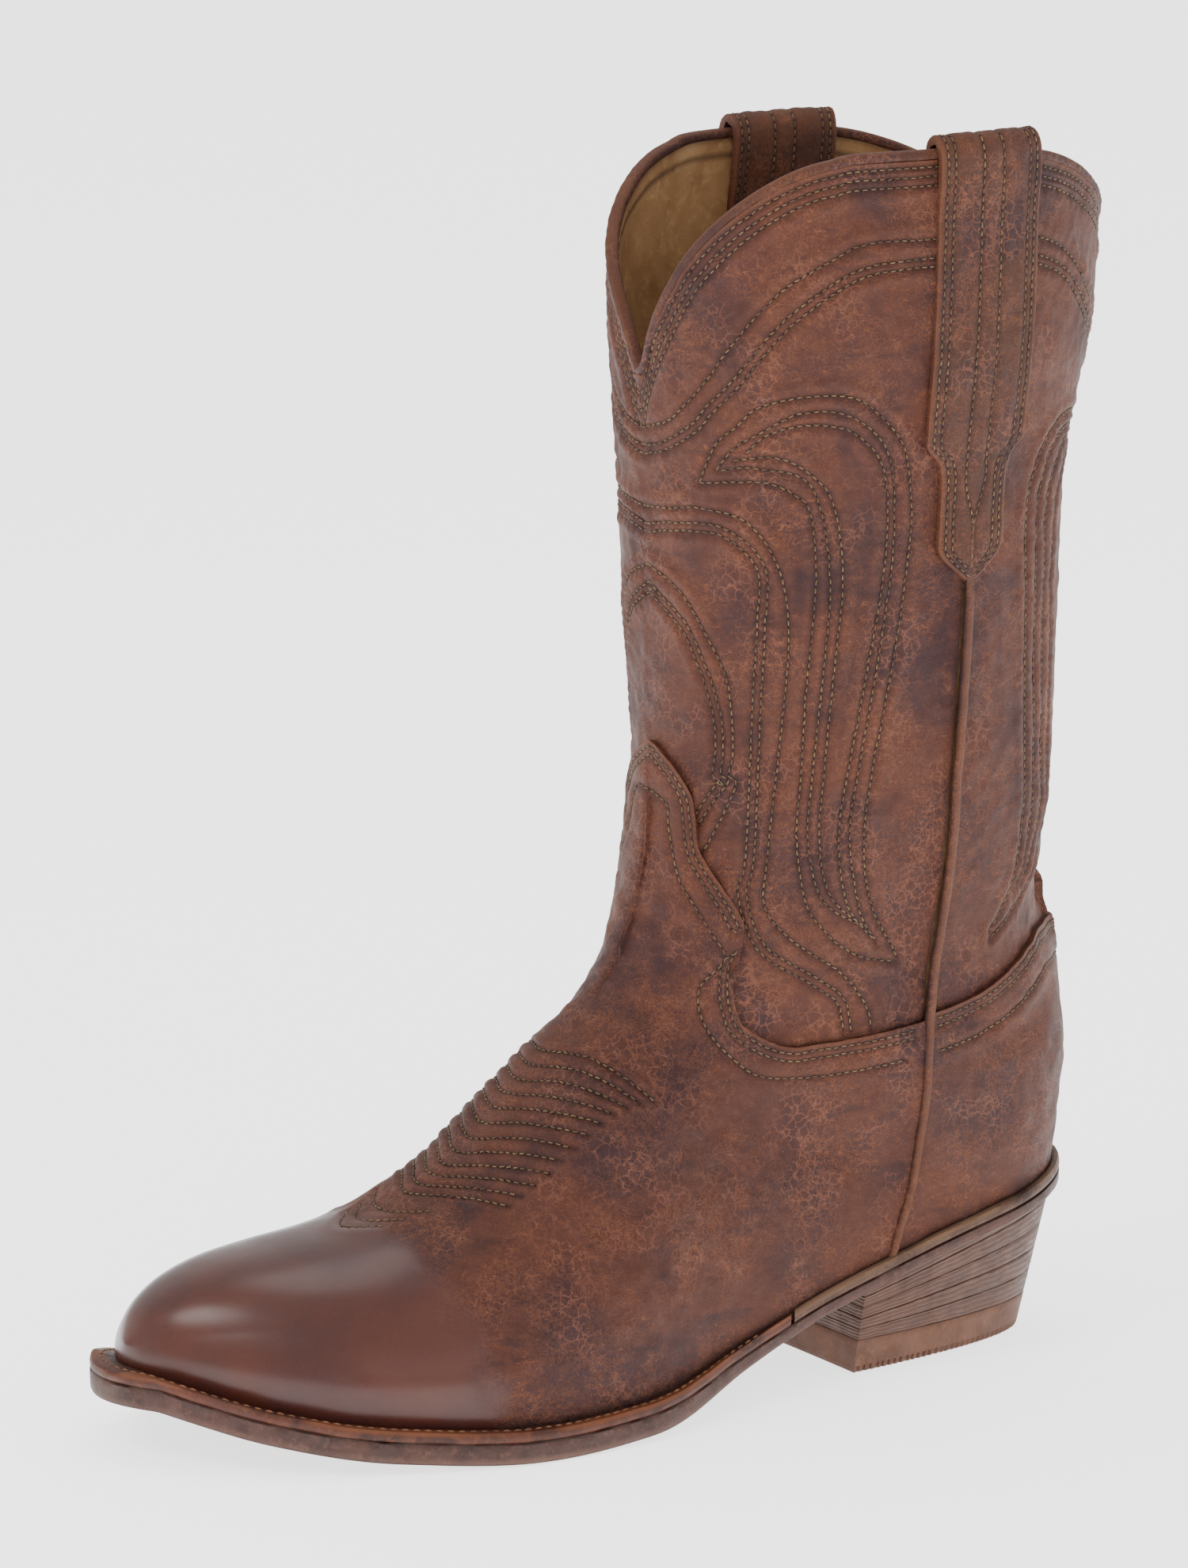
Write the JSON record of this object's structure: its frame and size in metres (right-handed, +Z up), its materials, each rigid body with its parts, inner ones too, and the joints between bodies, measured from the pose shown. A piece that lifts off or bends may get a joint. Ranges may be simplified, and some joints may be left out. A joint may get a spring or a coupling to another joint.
{
  "type": "cowboy boot",
  "caption": "Left Western boot with a deep front scallop, stitched shaft, two pull straps, welted leather sole and an underslung stacked heel.",
  "frame": {"origin": "on the floor, under the centre of the boot's bounding box", "axes": "+Z up along the shaft, +X to the boot's outer side, -Y towards the toe"},
  "size_m": [0.1184, 0.3016, 0.352],
  "materials": {
    "upper_leather": "pull-up leather, waxed, worn paler at the creases",
    "binding_leather": "rolled edge leather, worn orange at the fold",
    "piping_leather": "thin piping leather, waxed",
    "strap_leather": "pull-up leather with lock stitching",
    "lining_leather": "undyed tan lining leather, matt",
    "stiffener_board": "leather board, matt",
    "insole_leather": "vegetable tanned leather, matt",
    "sock_leather": "thin leather, matt",
    "welt_leather": "dyed welt leather, worn orange on top",
    "rand_leather": "dyed leather bead",
    "outsole_leather": "dyed and burnished edge, sanded tread",
    "stack_leather": "stacked leather, burnished",
    "cork": "pressed cork",
    "top_lift_rubber": "gum rubber, matt, fine saw teeth on the lower edge",
    "thread": "waxed thread",
    "spring_steel": "rolled spring steel",
    "nail_steel": "drawn steel wire",
    "peg_wood": "split lemonwood"
  },
  "bodies": {
    "root": {"vamp": "upper_leather", "counter_cover": "upper_leather", "shaft_front": "upper_leather", "shaft_back": "upper_leather", "side_welt_left": "piping_leather", "side_welt_right": "piping_leather", "collar_binding_front": "binding_leather", "collar_binding_back": "binding_leather", "pull_strap_left": "strap_leather", "pull_strap_right": "strap_leather", "shaft_lining_front": "lining_leather", "shaft_lining_back": "lining_leather", "vamp_lining": "lining_leather", "counter_lining": "lining_leather", "toe_puff": "stiffener_board", "heel_stiffener": "stiffener_board", "insole": "insole_leather", "sock_liner": "sock_leather", "welt": "welt_leather", "welt_stitching": "thread", "cork_filler": "cork", "shank": "spring_steel", "shank_pegs": "peg_wood", "outsole": "outsole_leather", "heel_rand": "rand_leather", "heel_lift_1": "stack_leather", "heel_lift_2": "stack_leather", "heel_lift_3": "stack_leather", "heel_lift_4": "stack_leather", "heel_lift_5": "stack_leather", "heel_top_lift": "top_lift_rubber", "heel_nails": "nail_steel", "top_lift_nails": "nail_steel"}
  },
  "joints": []
}
